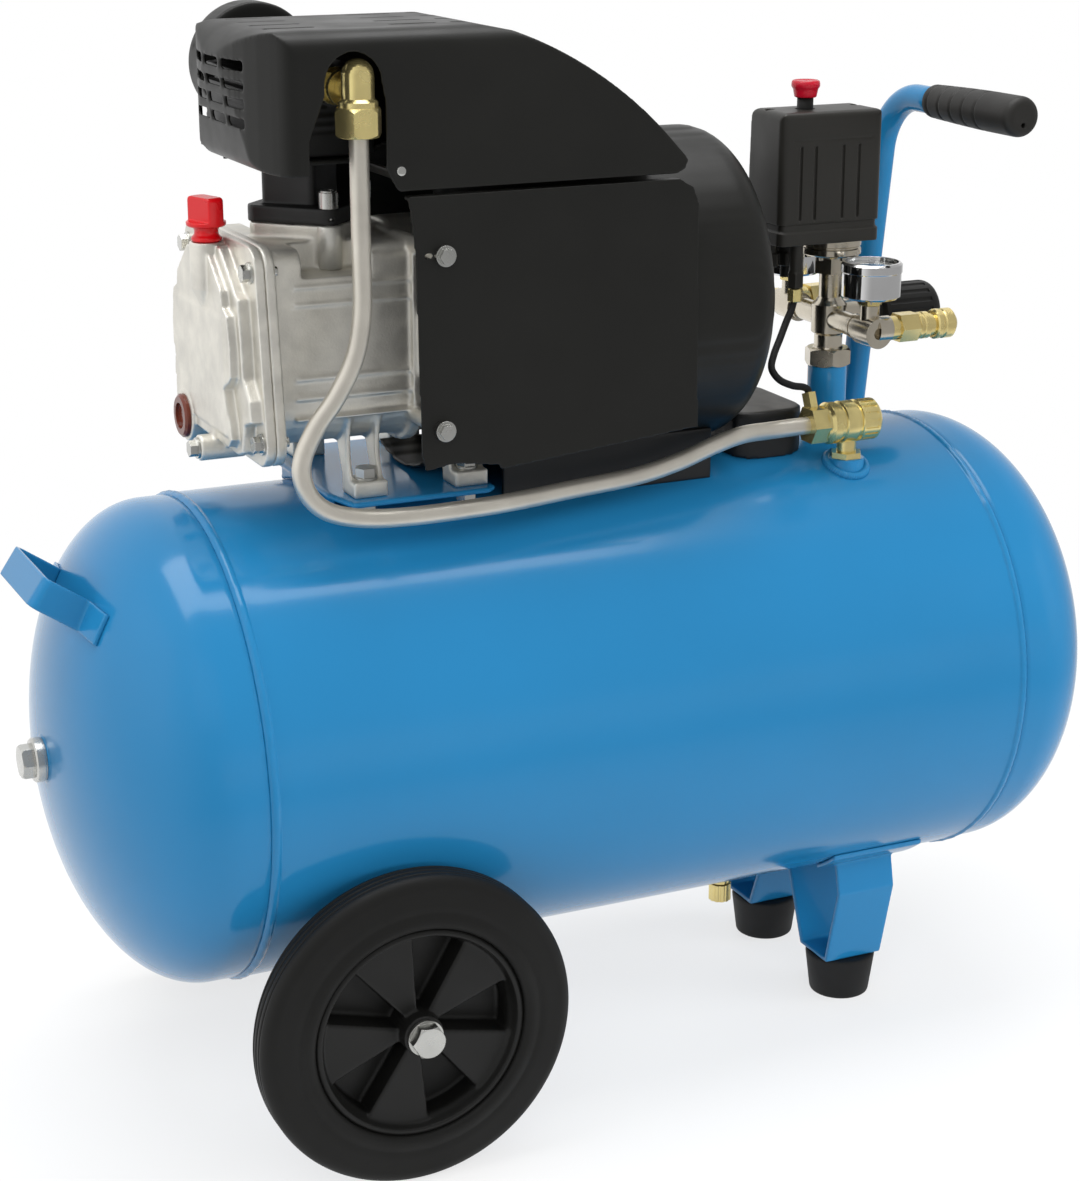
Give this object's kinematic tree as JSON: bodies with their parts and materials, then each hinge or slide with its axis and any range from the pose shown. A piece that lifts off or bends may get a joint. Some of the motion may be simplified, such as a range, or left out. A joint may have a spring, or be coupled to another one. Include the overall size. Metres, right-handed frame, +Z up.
{
  "type": "air compressor",
  "caption": "Wheeled workshop air compressor: horizontal tank, direct-drive piston pump under a cowl, pressure switch, gauges and outlet couplers.",
  "frame": {"origin": "centre of the bounding box's footprint, on the floor", "axes": "+X along the tank to the handle end, +Z up, -Y to the side with the delivery pipe and cowl front"},
  "size_m": [0.7354, 0.38, 0.6955],
  "materials": {
    "blue_paint": "glossy blue powder coat",
    "zinc_steel": "bright zinc-plated steel",
    "rubber": "black rubber with a dull surface",
    "tyre": "solid black tyre rubber",
    "black_plastic": "finely textured black moulded plastic",
    "switch_plastic": "dark grey moulded plastic",
    "cast_aluminium": "bead-blasted die-cast aluminium",
    "brass": "yellow zinc or brass fittings",
    "sight_glass": "oil-stained sight glass",
    "cast_iron": "machined iron",
    "black_steel": "black painted steel",
    "steel": "ground steel",
    "white_plastic": "off-white can",
    "tube_aluminium": "drawn aluminium tube",
    "nickel": "nickel-plated fittings",
    "gauge_black": "black case with a bright bezel",
    "clear_lens": "clear lens",
    "knob_black": "black fluted plastic",
    "red_plastic": "glossy red plastic"
  },
  "bodies": {
    "compressor": {"tank_shell": "blue_paint", "tank_dome_left": "blue_paint", "tank_dome_right": "blue_paint", "riser_pipe": "blue_paint", "end_plug": "zinc_steel", "carry_bracket": "blue_paint", "handle_tube": "blue_paint", "handle_grip": "rubber", "pump_saddle": "blue_paint", "wheel_bracket": "blue_paint", "chassis_bolts": "zinc_steel", "foot_bracket": "blue_paint", "rubber_feet": "rubber", "drain_valve_body": "brass", "crankcase": "cast_aluminium", "crankcase_cover": "cast_aluminium", "pump_bolts": "zinc_steel", "sight_glass": "sight_glass", "cylinder_liner": "cast_iron", "valve_plate": "black_steel", "cylinder_head": "cast_aluminium", "air_filter": "black_plastic", "top_cowl": "black_plastic", "motor_shroud": "black_plastic", "side_panel": "black_plastic", "motor_stator": "steel", "motor_end_bell": "cast_aluminium", "bearings": "steel", "capacitor": "white_plastic", "mount_bolts": "zinc_steel", "rear_mount": "black_steel", "discharge_elbow": "brass", "discharge_tube": "tube_aluminium", "check_valve": "brass", "relief_tube": "rubber", "motor_cable": "rubber", "switch_base": "switch_plastic", "switch_cover": "switch_plastic", "manifold": "nickel", "gauge_cases": "gauge_black", "gauge_lenses": "clear_lens", "coupler_bodies": "nickel", "safety_valve": "brass"},
    "front_wheel": {"front_tyre": "tyre", "front_rim": "black_plastic"},
    "rear_wheel": {"rear_tyre": "tyre", "rear_rim": "black_plastic"},
    "rotor": {"crankshaft": "steel", "cooling_fan": "black_plastic"},
    "piston": {"piston": "cast_aluminium", "connecting_rod": "cast_iron"},
    "oil_cap": {"oil_cap": "red_plastic"},
    "switch_knob": {"switch_knob": "red_plastic"},
    "regulator_knob": {"regulator_knob": "knob_black"},
    "front_sleeve": {"coupler_sleeve_front": "brass"},
    "rear_sleeve": {"coupler_sleeve_rear": "brass"},
    "front_needle": {"gauge_needle_front": "gauge_black"},
    "rear_needle": {"gauge_needle_rear": "gauge_black"},
    "drain_knob": {"drain_knob": "brass"},
    "safety_ring": {"safety_ring": "nickel"}
  },
  "joints": [
    {"name": "front_wheel_spin", "type": "hinge", "parent": "compressor", "child": "front_wheel", "pos_m": [-0.17375, -0.163, 0.101], "axis": [0, 1, 0], "continuous": true},
    {"name": "rear_wheel_spin", "type": "hinge", "parent": "compressor", "child": "rear_wheel", "pos_m": [-0.17375, 0.163, 0.101], "axis": [0, 1, 0], "continuous": true},
    {"name": "rotor_spin", "type": "hinge", "parent": "compressor", "child": "rotor", "pos_m": [-0.13275, 0, 0.5], "axis": [1, 0, 0], "continuous": true},
    {"name": "piston_stroke", "type": "slide", "parent": "compressor", "child": "piston", "axis": [0, 0, 1], "range_m": [0, 0.03]},
    {"name": "oil_cap_lift", "type": "slide", "parent": "compressor", "child": "oil_cap", "axis": [0, 0, 1], "range_m": [0, 0.018]},
    {"name": "switch_press", "type": "slide", "parent": "compressor", "child": "switch_knob", "axis": [0, 0, 1], "range_m": [-0.006, 0]},
    {"name": "regulator_turn", "type": "hinge", "parent": "compressor", "child": "regulator_knob", "pos_m": [0.24725, 0, 0.4775], "axis": [1, 0, 0], "range_deg": [-540, 540]},
    {"name": "front_sleeve_slide", "type": "slide", "parent": "compressor", "child": "front_sleeve", "axis": [1, 0, 0], "range_m": [-0.004, 0], "stiffness_N_per_m": 300},
    {"name": "rear_sleeve_slide", "type": "slide", "parent": "compressor", "child": "rear_sleeve", "axis": [1, 0, 0], "range_m": [-0.004, 0], "stiffness_N_per_m": 300},
    {"name": "front_needle_turn", "type": "hinge", "parent": "compressor", "child": "front_needle", "pos_m": [0.20275, -0.0515, 0.515], "axis": [0, 0, -1], "range_deg": [0, 270], "stiffness_Nm_per_rad": 0.00002},
    {"name": "rear_needle_turn", "type": "hinge", "parent": "compressor", "child": "rear_needle", "pos_m": [0.20275, 0.0515, 0.515], "axis": [0, 0, -1], "range_deg": [0, 270], "stiffness_Nm_per_rad": 0.00002},
    {"name": "drain_turn", "type": "hinge", "parent": "compressor", "child": "drain_knob", "pos_m": [0.12825, 0, 0.07], "axis": [0, 0, 1], "range_deg": [0, 720]},
    {"name": "safety_pull", "type": "slide", "parent": "compressor", "child": "safety_ring", "axis": [0, 1, 0], "range_m": [0, 0.003], "stiffness_N_per_m": 300}
  ]
}
